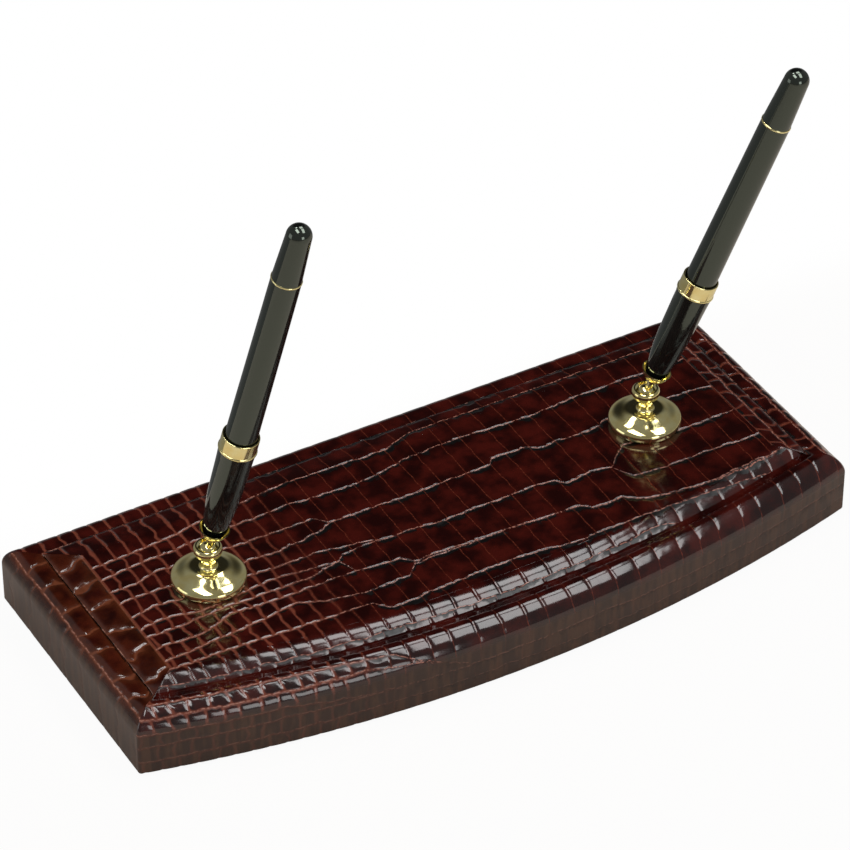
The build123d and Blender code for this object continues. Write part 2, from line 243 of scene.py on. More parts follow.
scale_colours = (0.012, 0.0006, 0.0003), (0.050, 0.0042, 0.0022)
# Amber tones of the left end, paler towards the scales' borders: painted sheen
sheen_colours = (0.014, 0.0014, 0.0005), (0.070, 0.012, 0.003)
sheen_edge_colour = (0.105, 0.026, 0.008)
face_colours = (0.030, 0.011, 0.005), (0.062, 0.025, 0.011)
# Near black in the pits along the near side of each row line: painted shade
pit_shade_colour = (0.0006, 0.0002, 0.0002)
groove_colours = (0.08, 0.012, 0.005), (0.17, 0.036, 0.018)
# Pale borders of the small cells: their groove colour with a painted highlight
cell_groove_highlight_colour = (0.20, 0.052, 0.030)
# Amber grooves of the left end: painted sheen
amber_groove_colour = (0.19, 0.060, 0.024)
# Pale flecks along each row line's far ridge: painted highlight
ridge_highlight_colours = (0.17, 0.045, 0.026), (0.44, 0.19, 0.14)
cell_ridge_highlight_colour = (0.42, 0.22, 0.16)

# How far from a line its colour starts and is full, in millimetres
cross_line = (0.30, 0.06)
cell_border = (0.8, 0.15)
rim_line = (0.8, 0.2)
ridge_highlight_line = (0.26, 0.06)
ridge_highlight_offset = 0.12
sheen_border = (3.0, 0.4)
glossy_from_line = (0.15, 0.6)

# Height over which the glossy rolls turn into the dull faces, and how much higher that is where amber is 1
face_heights = (19.5 * mm, 16.5 * mm)
amber_face_lift = 5 * mm

# More than half the diagonal of a face of the leather's grids, in millimetres
grid_slack = 0.45

# Added to squared distances, so that their inverses stay finite on a line, in square millimetres
softening = 0.001


def line_gap(leather, name):
    """Distance from the nearest row or cross line. Between two vertices, the signed distance also passes
    0 halfway from line to line, so the unsigned one, less a slack, is its lower bound."""
    signed = leather.attribute(name + "_side")
    return signed.size().at_least(leather.attribute(name + "_gap") - grid_slack)


def scale_colour(leather, edge, face, amber):
    """Nearly black red scales, and streaked dull brown on the faces. Where amber is 1, the scales turn
    amber and paler towards their borders: painted sheen of the left end."""
    cloud = leather.noise(size=9.0)
    colour = leather.blend(cloud.step(0.35, 0.7), *scale_colours)
    sheen_tone = leather.blend(leather.noise(size=6.0).step(0.3, 0.7), *sheen_colours)
    sheen_tone = leather.blend(edge.step(*sheen_border) * 0.8, sheen_tone, sheen_edge_colour)
    colour = leather.blend(amber * cloud.step(0.2, 0.5), colour, sheen_tone)
    streak = leather.noise(size=2.5, stretch=(1.0, 1.0, 0.15)).step(0.4, 0.65)
    worn = leather.blend(streak, *face_colours)
    return leather.blend(face * 0.9, colour, worn)


def groove_colour(leather, fleck, fine, amber):
    """Red-brown grooves, paler between small cells, where a painted highlight is mixed in, and amber where
    amber is 1, which is painted sheen of the left end.
    """
    colour = leather.blend(fleck.step(0.35, 0.65), *groove_colours)
    colour = leather.blend(fine * 0.8, colour, cell_groove_highlight_colour)
    return leather.blend(amber, colour, amber_groove_colour)


def ridge_highlight_colour(leather, fleck, fine):
    """Painted highlight: pale flecks on the thin ridge along a row line."""
    colour = leather.blend(fleck.step(0.4, 0.6), *ridge_highlight_colours)
    return leather.blend(fine * 0.6, colour, cell_ridge_highlight_colour)


def leather_finish():
    """Glossy embossed leather: dark scales with ragged pits along the near side of each row line, which are
    painted near black as shade, a thin ridge on its far side with a painted pale highlight, red-brown
    borders, and dull faces. The amber of the left end is painted sheen."""
    leather = Finish("embossed_leather", Coat_Roughness=0.08, Specular_IOR_Level=0.5)
    row = line_gap(leather, "row")
    cross = line_gap(leather, "cross")
    edge = 1 / (1 / (row**2 + softening) + 1 / (cross**2 + softening)) ** 0.5
    fine = leather.attribute("fine")
    amber = leather.attribute("amber")
    height = Wire(leather, leather.node("ShaderNodeSeparateXYZ", {}, leather.place()).outputs["Z"])
    face = (height - amber_face_lift * amber).step(*face_heights)
    fleck = leather.noise(size=1.1, detail=4.0)
    grain = leather.noise(size=0.5, detail=4.0)
    # ragged: where the pits are painted near black, as shade
    ragged = (leather.attribute("pit") * 3.4 + 1.8 * fleck - 1.15).clamp()
    colour = leather.blend(ragged, scale_colour(leather, edge, face, amber), pit_shade_colour)
    plain = 1 - 0.75 * face
    line = cross.step(*cross_line) * (0.35 + 0.5 * fleck)
    cell = edge.step(*cell_border) * fine * (0.6 + 0.6 * fleck)
    border = (line.at_least(cell) * plain).at_least(leather.attribute("rim").step(*rim_line) * 0.9)
    colour = leather.blend(border.clamp(), colour, groove_colour(leather, fleck, fine, amber))
    # The pale flecks along each row line's far ridge are a painted highlight
    beside = (leather.attribute("row_side") - ridge_highlight_offset).size().at_least(row - ridge_highlight_offset)
    ridge = beside.step(*ridge_highlight_line) * fleck.step(0.38, 0.55)
    leather.set("Base Color", leather.blend(ridge * plain * 0.9, colour, ridge_highlight_colour(leather, fleck, fine)))
    smooth = row.step(*glossy_from_line)
    leather.set("Roughness", 0.22 - 0.11 * smooth + 0.06 * grain + 0.22 * face + 0.2 * ragged)
    leather.set("Coat Weight", 0.6 * smooth * (1 - face) * (1 - ragged) * (1 - 0.7 * amber))
    leather.relief(grain + 0.5 * leather.noise(size=0.25), depth=0.006)
    return leather.material


finishes = {
    "gold_metal": gold_finish(),
    "black_gloss": black_gloss_finish(),
    "black_matte": black_matte_finish(),
    "steel": steel_finish(),
    "nylon": nylon_finish(),
    "core_wood": wood_finish(),
    "felt": felt_finish(),
    "leather": leather_finish(),
}


# Leather block: its outline and the section of its edge, in millimetres

base_low, base_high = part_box("leather_cover")
half_length = base_high.x / mm
back_line = base_high.y / mm
bow_front = base_low.y / mm
underside = base_low.z / mm
top = base_high.z / mm
front_bow = 18.1
bow_radius = (half_length**2 + front_bow**2) / (2 * front_bow)
bow_centre = bow_front + bow_radius
corner_round = 1.2
least_round = 0.02

plateau_inset = 21.0
crease_inset = 11.0
crest_inset = 7.0
inner_roll_rise = 4.5
inner_roll_power = 2.2
outer_roll_back_drop = 2.7
outer_roll_height = 7.3
outer_roll_power = 1.15
crease_height = top - inner_roll_rise
crest_height = crease_height + outer_roll_back_drop
face_top = crest_height - outer_roll_height
foot_round = 1.0
turn_in = 14.0
skin = 1.0

# The flattened moulding of the ends and the back
band_height = 24.3
band_slope = 0.03
band_rounding = 0.8
band_blend = 14.0
band_rise_power = 1.15
notch_depth = 0.06
notch_width = 0.8

# How finely the leather is divided
columns_long = 500
columns_side = 176
columns_corner = 8
columns_top = 440
rows_top = 300
arc_points = 40
profile_step = 0.3
turn_in_rows = 5
foot_rows = 4
lining_rows = 8


def edge_profile():
    """The block's edge in section, from the plateau outwards and under: inset and height.
    The inner roll falls off as a power, height = h - b u^q at inset = i - a u. The outer roll is near a
    quarter ellipse: inset = a (1 - sin^p t), height = h + b cos^p t. The crease is where the inner
    roll's foot meets the rounded back of the outer roll."""
    t = np.linspace(0, np.pi / 2, arc_points)
    u = np.linspace(0, 1, arc_points)
    inner = [plateau_inset - (plateau_inset - crease_inset) * u, top - inner_roll_rise * u**inner_roll_power]
    back = [
        crest_inset + (crease_inset - crest_inset) * np.cos(t),
        crease_height + outer_roll_back_drop * np.sin(t),
    ]
    outer = [
        crest_inset * (1 - np.sin(t) ** outer_roll_power),
        face_top + outer_roll_height * np.abs(np.cos(t)) ** outer_roll_power,
    ]
    foot = [foot_round * (1 - np.cos(t)), underside + foot_round * (1 - np.sin(t))]
    return np.concatenate([np.array(part)[:, 1:] for part in (inner, back, outer, foot)], axis=1)


def run_length(points):
    """Distance along a line of points, given as rows of coordinates."""
    return np.concatenate([[0], np.cumsum(np.linalg.norm(np.diff(points, axis=1), axis=0))])


def sampled_profile():
    """The edge profile at even steps, and a few wider ones below the block: run from the plateau, inset,
    height, and the outward and upward parts of its normal."""
    raw = np.concatenate([[[plateau_inset], [top]], edge_profile()], axis=1)
    run = run_length(raw)
    even = np.linspace(0, run[-1], int(run[-1] / profile_step) + 1)
    inset, height = (np.interp(even, run, row) for row in raw)
    under = np.linspace(foot_round, turn_in, turn_in_rows + 1)[1:]
    even = np.concatenate([even, run[-1] + under - foot_round])
    inset = np.concatenate([inset, under])
    height = np.concatenate([height, np.full(turn_in_rows, underside)])
    along_inset, along_height = np.gradient(inset, even), np.gradient(height, even)
    size = np.hypot(along_inset, along_height)
    out, up = -along_height / size, -along_inset / size
    out[0], up[0] = 0.0, 1.0
    return even, inset, height, out, up


def bell(gap, width):
    """1 on a line, falling off on both sides over a width."""
    return np.exp(-((gap / width) ** 2))


def ramp(value, start, end):
    """0 at the start, 1 at the end, smooth between. The end may be the smaller one."""
    t = np.clip((value - start) / (end - start), 0, 1)
    return t * t * (3 - 2 * t)


def flattened(inset, height):
    """Height of the edge where the leather bridges the moulding: the crest h and a gently rising line m
    meet in (h + m - sqrt((h - m)^2 + r^2)) / 2, a fine crease follows, and a rise to the plateau as
    1 - (1 - u)^q."""
    just_past_crease = crease_inset + 0.01
    behind_crest = (inset > crest_inset) & (inset < just_past_crease)
    crest = np.where(behind_crest, crest_height, height)
    line = band_height + band_slope * inset
    low = (crest + line - np.hypot(crest - line, band_rounding)) / 2
    start = band_height + band_slope * crease_inset
    share = np.clip((inset - crease_inset) / (plateau_inset - crease_inset), 0, 1)
    high = start + (top - start) * (1 - (1 - share) ** band_rise_power)
    flat = np.where(inset > crease_inset, high, low) - notch_depth * bell(inset - crease_inset, notch_width)
    return np.where(height < face_top, height, flat)


# Plan of the block's edge at an inset. Each stretch is its points and their outward directions.

long_share = np.linspace(0, 1, columns_long + 1)[None]
end_share = np.linspace(0, 1, columns_side + 1)[None]
corner_share = np.linspace(0, 1, columns_corner + 1)[None]


def bow_angle(inset, rounding):
    """Angle from the middle of the bow to where the corner's rounding starts."""
    return np.arcsin((half_length - inset - rounding) / (bow_radius - inset - rounding))


def bow_plan(inset, rounding):
    """The bowed front from left to right: x = r sin a, y = c - r cos a."""
    angle = (2 * long_share - 1) * bow_angle(inset, rounding)
    out = np.array([np.sin(angle), -np.cos(angle)])
    return np.array([0 * angle, 0 * angle + bow_centre]) + (bow_radius - inset) * out, out


def corner_centre(inset, rounding, front):
    """Centre of a right-hand corner's rounding, at the front or at the back."""
    x = half_length - inset - rounding
    angle = bow_angle(inset, rounding)
    y_front = bow_centre - (bow_radius - inset - rounding) * np.cos(angle)
    return x, y_front if front else back_line - inset - rounding


def corner_plan(inset, rounding, front):
    """A right-hand corner: an arc from the long side's direction to the end's."""
    x, y = corner_centre(inset, rounding, front)
    start = bow_angle(inset, rounding) - np.pi / 2 if front else np.pi / 2
    angle = start * (1 - corner_share)
    out = np.array([np.cos(angle), np.sin(angle)])
    return np.array([x + rounding * out[0], y + rounding * out[1]]), out


def side_plan(inset, rounding):
    """The straight right-hand end, from front to back."""
    x, y_front = corner_centre(inset, rounding, front=True)
    y_back = corner_centre(inset, rounding, front=False)[1]
    plan = np.array([x + rounding + 0 * end_share, y_front + (y_back - y_front) * end_share])
    return plan, np.array([np.ones_like(plan[0]), np.zeros_like(plan[0])])


def back_plan(inset, rounding):
    """The straight back, from right to left."""
    x, y = corner_centre(inset, rounding, front=False)
    plan = np.array([x * (1 - 2 * long_share), y + rounding + 0 * long_share])
    return plan, np.array([np.zeros_like(plan[0]), np.ones_like(plan[0])])


def backwards(stretch):
    """The same stretch, run the other way."""
    return tuple(grid[:, :, ::-1] for grid in stretch)


def on_left(stretch):
    """The same stretch at the other end of the block."""
    return tuple(grid * np.array([-1, 1])[:, None, None] for grid in stretch)


def front_edge(inset, rounding):
    corner = corner_plan(inset, rounding, front=True)
    return [on_left(backwards(corner)), bow_plan(inset, rounding), corner]


def right_edge(inset, rounding):
    return [side_plan(inset, rounding)]


def back_edge(inset, rounding):
    corner = corner_plan(inset, rounding, front=False)
    return [backwards(corner), back_plan(inset, rounding), on_left(corner)]


def left_edge(inset, rounding):
    return [on_left(backwards(side_plan(inset, rounding)))]


def joined(stretches):
    """Stretches as one. Each starts where the one before it ends, so its first point is left out."""
    return np.concatenate([stretches[0]] + [part[:, :, 1:] for part in stretches[1:]], axis=2)


# Leather's embossed pattern: its lines, in millimetres

# Row lines of the plateau, from front to back: (x, y) where each turns. Where lines meet they run on as one.
row_lines = [
    [(-119, -27.6), (-93, -28), (-72, -29.5), (-57, -30.8), (-45, -31), (-40, -36.5), (-13, -35.2),
     (10, -34.5), (33, -37.6), (60, -37)],
    [(-119, -22.8), (-104, -21.6), (-84, -20.7), (-67, -18), (-58, -22.5), (-42, -25), (-27, -24.9),
     (-22, -20.2), (10, -20), (33, -21.4), (43, -21.6), (46.3, -24.9), (58, -24.8), (65, -30.3),
     (87, -32.9), (105, -32.5), (119, -30)],
    [(-119, -15.7), (-101, -16.4), (-89, -12.2), (-65, -13.5), (-41, -13.6), (-25, -15.8), (-21.8, -18.9),
     (10, -19.8), (33, -21.2), (43, -21.4), (46.3, -24.7), (58, -24.6), (65, -30), (87, -32.7),
     (105, -32.3), (119, -29.8)],
    [(-119, -9), (-106, -9.5), (-90, -8), (-65, -9), (-54, -8.5), (-46, -6.6), (-43.9, -6.3),
     (-41.2, -13.5), (-25, -15.7), (-21.8, -18.8), (10, -19.7), (33, -21.1), (43, -21.3), (46.3, -24.6),
     (58, -24.5), (65, -29.9), (87, -32.6), (119, -29.7)],
    [(-119, -4.8), (-110, -2.9), (-97, -5.7), (-65, -3.3), (-52, -5.5), (-46, -6.3), (-43.9, -6.2),
     (-41.2, -3.5), (-24.8, -3.2), (-2.5, -5.2), (28.7, -4.4), (42.3, -4.9), (45.6, -8.6), (56, -7.3),
     (63.7, -9.1), (67.9, -16.8), (79.4, -18), (102, -18), (119, -19)],
    [(-119, 2), (-110, 4.1), (-97.5, 2.7), (-62.6, 1.6), (-48.5, 1.6), (-35.7, -1), (-24.8, -3.1),
     (-2.5, -5.1), (28.7, -4.3), (42.3, -4.8), (45.6, -8.5), (56, -7.2), (63.7, -9), (67.5, -5.2),
     (73.6, -0.3), (91, -3), (119, -3)],
    [(-119, 11), (-99, 10.6), (-58.8, 8.7), (-43.5, 10.6), (-36.8, 13.3), (0, 12.8), (27.6, 13.5),
     (29.5, 16.1), (43.6, 15.4), (46.8, 13), (71.8, 12.9), (74.6, 15), (103, 14.6), (119, 13.2)],
    [(-119, 17.6), (-110, 17.2), (-101.7, 20), (-70, 18.6), (-41, 18.1), (-36.8, 13.4), (0, 12.9),
     (27.6, 13.6), (29.5, 16.2), (43.6, 15.5), (46.8, 13.1), (71.8, 13), (74.6, 15.1), (103, 14.7),
     (119, 13.3)],
    [(-119, 25), (-100, 26.5), (-80, 27.8), (-47.7, 29.2), (-20, 27.6), (-10, 28), (3, 31), (30, 32.2),
     (46, 30), (75, 31.8), (119, 31.5)],
    [(-119, 31.8), (-106, 32.4), (-96, 33), (-80, 35.5), (-41, 40.5), (-31, 39.5), (0, 39.3), (12, 44),
     (119, 44)],
]

# Row lines on the front edge, from the bottom up: (x, run from the plateau). The crease is one of them.
front_rows = [
    [(-140, 39.2), (-60, 38.6), (20, 39.0), (140, 38.4)],
    [(-140, 33.0), (-90, 32.6), (-20, 33.6), (30, 32.4), (70, 33.4), (140, 32.0)],
    [(-140, 27.6), (-90, 28.2), (-60, 32.5), (-20, 33.5), (30, 32.3), (70, 33.3), (140, 31.9)],
    [(-140, 22.0), (-60, 22.6), (-42, 25.0), (-22, 33.4), (30, 32.2), (70, 33.2), (140, 31.8)],
    [(-140, 16.8), (-80, 17.2), (-52, 19.5), (-40, 25.1), (-22, 33.3), (30, 32.1), (70, 33.1), (140, 31.7)],
    [(-140, 11.6), (140, 11.6)],
    [(-140, 7.2), (-60, 6.8), (20, 7.0), (62, 6.8), (80, 11.5), (140, 11.5)],
]

# Row lines on the back edge, from the top down: (x, run from the plateau)
back_rows = [[(-140, 11.6), (140, 11.6)], [(-140, 33.0), (140, 32.5)]]
crease_run = 11.6

# Cross lines: the distance between two of them as (x, pitch), the step in which these are summed up, and
# each row's shift as a share of the distance
scale_pitches = [(-170, 6.4), (-75, 5.9), (-25, 9.0), (170, 9.4)]
pitch_step = 0.1
row_shifts = [0.0, 0.35, 0.1, 0.45, 0.05, 0.08, 0.5, 0.22, 0.62, 0.3, 0.7, 0.15, 0.1, 0.0, 0.12, 0.05]

# The ends: runs of the row lines from the plateau, and how the left and the right one differ
end_rows = {
    "left": [21.5, 11.6, 0.0],
    "right": [39.0, 33.0, 25.0, 18.0, 11.6, 5.8, 0.0],
}
end_pitches = {"left": 13.2, "right": 8.0}
end_shifts = {"left": [0.3, 0.75, 0.25, 0.8], "right": [0.1, 0.6, 0.25, 0.8, 0.4, 0.05, 0.55, 0.3]}
end_sag = {"left": 0.20, "right": 0.12}
end_pits = {"left": 0.3, "right": 1.0}
end_fine = 0.8
end_lean = 2.4
end_offset = 2.7

# Zones along the block: the x where a change starts and the x where it is full
broad_zone = (-75, -30)
fine_zone = (-40, -75)
shallow_zone = (30, 70)

# Zones down the edge: runs from the plateau, and insets below the block
roll_zone = (0, 3)
inner_roll_zone = (11, 8)
face_zone = (20, 26)
turn_in_fade = (turn_in, 2)

# The pattern fades over this length where pieces meet
fade_length = 1.6

# What of the pattern is lost in a zone, as a share
roll_row_loss = 0.4
inner_roll_cell_loss = 0.85
face_pit_loss = 0.85
face_depth_loss = 0.5
end_face_depth_loss = 0.75

# Grooves: width, depth of the row lines and depth of the cross lines
left_grooves = (0.50, 0.20, 0.14)
other_grooves = (0.80, 0.28, 0.05)
end_grooves = (0.6, 0.25, 0.24)
rim_groove_width = 0.6
rim_groove_depth = 0.25
cell_depth = 0.22
cell_width = 0.55
plain_sag = 0.05
sag_width = 1.6

# No point of the block's edge is sunk deeper than this
deepest = 0.34

# On the rolls: depth of the cross lines, and how much less it is in two zones, and the sag added to cells
roll_cross_depth = 0.22
shallow_zone_less = 0.10
fine_zone_less = 0.08
cell_sag = 0.03

# How far a groove reaches, as a share of its width: a row line on its far and near side, and a cross line
far_reach = 0.38
near_reach = 0.9
ragged_reach = 1.5
cross_reach = 0.5

# How strong the pits are, and how much that changes over broad and over small spots
mean_pit = 0.62
broad_pit_change = 0.5
small_pit_change = 0.35
weakest_pit = 0.12
strongest_pit = 1.3

# Jags of the row lines and swell of the leather, small and broad
small_jag = 0.3
broad_jag = 0.45
small_swell = 0.012
broad_swell = 0.03

# How cross lines wander and lean, as a share of their pitch, and the strides that give each scale its lean
cross_wander = 0.03
cell_wander = 0.08
cross_lean = 0.14
column_stride = 3.1
row_stride = 5.3

# A distance that stands for no line nearby, and a height in front of all the plateau's lines
far = 9.0
in_front = -50.0

# Sizes of the tables of random values
waver_count = 1024
mottle_count = 256


def waver(x, pitch, seed):
    """A jagged line between -1 and 1: random values at every pitch, joined by straight stretches."""
    values = np.random.default_rng(seed).uniform(-1, 1, waver_count)
    return np.interp(np.asarray(x) / pitch + waver_count // 2, np.arange(waver_count), values)


def mottle(x, y, pitch, seed):
    """Soft spots between -1 and 1 on the sheet: random values on a square net, blended smoothly."""
    values = np.random.default_rng(seed).uniform(-1, 1, (mottle_count, mottle_count))
    u, v = (np.asarray(place) / pitch + mottle_count // 2 for place in (x, y))
    i, j = np.floor(u).astype(int), np.floor(v).astype(int)
    s, t = ramp(u - i, 0, 1), ramp(v - j, 0, 1)
    i, j = i % (mottle_count - 1), j % (mottle_count - 1)
    low = values[i, j] * (1 - s) + values[i + 1, j] * s
    high = values[i, j + 1] * (1 - s) + values[i + 1, j + 1] * s
    return low * (1 - t) + high * t


def line_heights(line, x):
    """Height of a row line at each x, with its small jags. Lines that meet keep the same jags."""
    at, height = np.array(line).T
    y = np.interp(x, at, height)
    small = small_jag * mottle(x, y, pitch=1.3, seed=3)
    broad = broad_jag * mottle(x, y, pitch=5.0, seed=4)
    return y + small + broad


def plateau_rows(x):
    return [line_heights(line, x) for line in row_lines]


def plateau_edge(x):
    """Front edge of the plateau: y = c - sqrt(r^2 - x^2)."""
    radius = bow_radius - plateau_inset
    return bow_centre - np.sqrt(radius**2 - np.minimum(np.abs(x), radius) ** 2)


def column_number(x):
    """A running number that grows by one from each cross line to the next, and the pitch at each x."""
    at, pitch = np.array(scale_pitches).T
    fine = np.linspace(at[0], at[-1], round((at[-1] - at[0]) / pitch_step) + 1)
    number = np.cumsum(pitch_step / np.interp(fine, at, pitch))
    return np.interp(x, fine, number), np.interp(x, at, pitch)


def embossing(x, y, rows, column, pitch, shifts, grooves, fine, sag=plain_sag):
    """What the finish needs to know of the embossing on the flat sheet, and its depth.
    rows: heights y of the row lines. column: a running number whose whole values are the cross lines;
    each row shifts them by its own share, so that its scales sit like bricks. A groove's depth is
    D exp(-(gap / width)^2). A row line is steep on its far side and runs out in ragged pits on its
    near side, and scales sag a little towards their edges. Where fine is 1 the scales are small rounded
    cells, grooved all round at the distance 1 / sqrt(1 / side^2 + 1 / cross^2) from their borders."""
    width, row_depth, cross_depth = grooves
    row = np.zeros(x.shape, dtype=int)
    side = np.full(x.shape, far)
    for line in rows:
        row += y > line
        gap = y - line
        side = np.where(np.abs(gap) < np.abs(side), gap, side)
    share = np.asarray(shifts)[row % len(shifts)]
    number = column + share + (cross_wander + cell_wander * fine) * mottle(x, y, pitch=3.0, seed=6)
    scale = np.round(number) * column_stride + row_stride * row
    number = number + cross_lean * waver(scale, pitch=1.0, seed=5)
    cross = (number - np.round(number)) * pitch
    uneven = mean_pit + broad_pit_change * mottle(x, y, pitch=4.0, seed=7)
    uneven = uneven + small_pit_change * mottle(x, y, pitch=1.7, seed=12)
    uneven = np.clip(uneven, weakest_pit, strongest_pit)
    reach = np.where(side > 0, far_reach, near_reach + ragged_reach * uneven) * width
    pit = uneven * bell(side, reach)
    edge = 1 / np.sqrt(1 / (side**2 + softening) + 1 / (cross**2 + softening))
    depth = np.maximum(row_depth * pit, cross_depth * bell(cross, cross_reach * width))
    depth = np.maximum(depth, fine * cell_depth * bell(edge, cell_width))
    swell = small_swell * (1 + mottle(x, y, pitch=2.2, seed=8))
    swell = swell + broad_swell * (1 + mottle(x, y, pitch=8.0, seed=9))
    # The pit mark also tells the finish where to paint shade, near black, into the pits
    marks = {
        "row_side": side,
        "cross_side": cross,
        "pit": pit * (side < 0),
        "fine": fine + 0 * x,
        "rim": np.full(x.shape, far),
    }
    return marks, depth + sag * bell(edge, sag_width) + swell


def groove_sizes(x):
    """Width and depths of the grooves: narrow on the left, and elsewhere broad, with the row lines
    deeper and the cross lines shallower."""
    share = ramp(x, *broad_zone)
    return [left + (other - left) * share for left, other in zip(left_grooves, other_grooves)]


def fine_share(x):
    """1 where the scales are small rounded cells, on the left, and 0 elsewhere."""
    return ramp(x, *fine_zone)


def side_fade(x, inset):
    """1, falling to 0 at the mitres of a long side, so that its neighbour meets it flat."""
    return ramp(half_length - inset - np.abs(x), 0, fade_length)


def plateau_pattern(x, y):
    column, pitch = column_number(x)
    rows = [np.full(x.shape, in_front)] * len(front_rows) + plateau_rows(x)
    marks, depth = embossing(x, y, rows, column, pitch, row_shifts, groove_sizes(x), fine_share(x))
    end_gap = half_length - plateau_inset - np.abs(x)
    depth = np.maximum(depth, rim_groove_depth * (x < 0) * bell(end_gap, rim_groove_width))
    corner = np.minimum(y - plateau_edge(x), back_line - plateau_inset - y)
    marks["rim"] = np.where(x < 0, end_gap, far)
    return marks, depth * ramp(np.hypot(end_gap, corner), 0, fade_length)


def front_pattern(x, run, inset):
    """The plateau's pattern run on over the rolls. Small cells all but end on the inner roll and come back
    below it, and the face is embossed half as deep or less."""
    column, pitch = column_number(x)
    rows = [-line_heights(line, x) for line in front_rows]
    edge = plateau_edge(np.clip(x, -half_length + plateau_inset, half_length - plateau_inset))
    rows += [height - edge for height in plateau_rows(x)]
    on_roll = ramp(run, *roll_zone)
    on_face = ramp(run, *face_zone)
    width, row_depth, cross_depth = groove_sizes(x)
    roll_depth = roll_cross_depth - shallow_zone_less * ramp(x, *shallow_zone)
    roll_depth = roll_depth - fine_zone_less * fine_share(x)
    cross_depth = (cross_depth + (roll_depth - cross_depth) * on_roll) * (1 - face_depth_loss * on_face)
    grooves = width, row_depth * (1 - roll_row_loss * on_roll), cross_depth
    fine = fine_share(x) * (1 - inner_roll_cell_loss * ramp(run, *inner_roll_zone) * on_roll)
    sag = plain_sag + cell_sag * fine * on_roll
    marks, depth = embossing(x, -run, rows, column, pitch, row_shifts, grooves, fine, sag)
    marks["pit"] *= 1 - face_pit_loss * on_face
    return marks, depth * (1 - face_depth_loss * on_face) * side_fade(x, inset)


def back_pattern(x, run, inset):
    """The plateau's pattern run on over the back."""
    column, pitch = column_number(x)
    start = back_line - plateau_inset
    rows = [np.full(x.shape, in_front)] * len(front_rows) + plateau_rows(x)
    rows += [start + line_heights(line, x) for line in back_rows]
    marks, depth = embossing(x, start + run, rows, column, pitch, row_shifts, groove_sizes(x), fine_share(x))
    return marks, depth * side_fade(x, inset)


def end_pattern(side, y, run):
    """Rows of leaning tiles along an end. The left one also has a line around the plateau."""
    rows = [-line_heights([(0, value)], y) if value else 0 * y for value in end_rows[side]]
    lean = end_lean * mottle(run, y, pitch=8.0, seed=11)
    pitch = end_pitches[side]
    column = (y + lean - end_offset) / pitch
    marks, depth = embossing(
        y, -run, rows, column, pitch, end_shifts[side], end_grooves, end_fine, end_sag[side]
    )
    if side == "left":
        depth = np.maximum(depth, rim_groove_depth * bell(run, rim_groove_width))
    on_face = ramp(run, *face_zone)
    marks["pit"] *= (1 - face_pit_loss * on_face) * end_pits[side]
    marks["rim"] = np.minimum(run + far * (side == "right"), np.abs(run - crease_run))
    to_corner = np.minimum(y - y.min(axis=1, keepdims=True), y.max(axis=1, keepdims=True) - y)
    return marks, depth * (1 - end_face_depth_loss * on_face) * ramp(to_corner, 0, fade_length)


def left_pattern(y, run, inset):
    return end_pattern("left", y, run)


def right_pattern(y, run, inset):
    return end_pattern("right", y, run)


# Leather's meshes

profile = sampled_profile()


def grid_faces(rows, columns, start=0):
    """Quads of a grid of vertices numbered row by row."""
    corner = (np.arange(rows - 1)[:, None] * columns + np.arange(columns - 1)).ravel() + start
    return np.stack([corner, corner + 1, corner + columns + 1, corner + columns], axis=1)


def bridge(first, second):
    """Quads between two rows of vertex numbers."""
    return np.stack([first[:-1], first[1:], second[1:], second[:-1]], axis=1)


def leather_piece(name, points, faces, normals, values):
    """Makes a mesh piece of leather from points in millimetres, and lets it ride on the base."""
    body, finish = "base", "leather"
    mesh = bpy.data.meshes.new(name)
    mesh.from_pydata((points * mm).tolist(), [], faces)
    for key, value in values.items():
        mesh.attributes.new(key, "FLOAT", "POINT").data.foreach_set("value", value.astype(np.float32))
    mesh.polygons.foreach_set("use_smooth", np.ones(len(mesh.polygons), bool))
    mesh.normals_split_custom_set_from_vertices(normals.tolist())
    mesh.materials.append(finishes[finish])
    made = placed(name, mesh)
    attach(made, body)
    return made


def unit(vectors):
    tiny = 1e-12
    return vectors / np.maximum(np.linalg.norm(vectors, axis=0), tiny)


def pressed(base, normal, depth):
    """Points of a surface sunk by a depth along its normal, and the sunk surface's normals:
    n + u dD/du + v dD/dv for the unit directions u and v of the grid."""
    shortest = 1e-3
    tilted = normal.copy()
    for axis in (1, 2):
        step = np.gradient(base, axis=axis)
        length = np.linalg.norm(step, axis=0)
        slope = np.gradient(depth, axis=axis - 1) / np.maximum(length, shortest)
        tilted += unit(step) * np.where(length > shortest, slope, 0)
    return base - normal * depth, unit(tilted)


def flat_list(grid):
    return grid.reshape(3, -1).T


def pattern_values(marks, blanks, amber):
    """The pattern's values at each vertex, for the finish. The hidden inner vertices get none of it."""
    marks["row_gap"] = np.abs(marks["row_side"])
    marks["cross_gap"] = np.abs(marks["cross_side"])
    blank = {"pit": 0.0, "fine": 0.0}
    values = {
        key: np.concatenate([grid.ravel(), np.full(blanks, blank.get(key, far))])
        for key, grid in marks.items()
    }
    values["amber"] = np.full(len(values["pit"]), amber)
    return values


def full_moulding(y):
    return 0 * y


def flat_moulding(y):
    return 0 * y + 1


def end_moulding(y):
    """The ends share the front's full moulding at the front corners, and flatten behind them."""
    return ramp(y - y.min(), 0, band_blend)


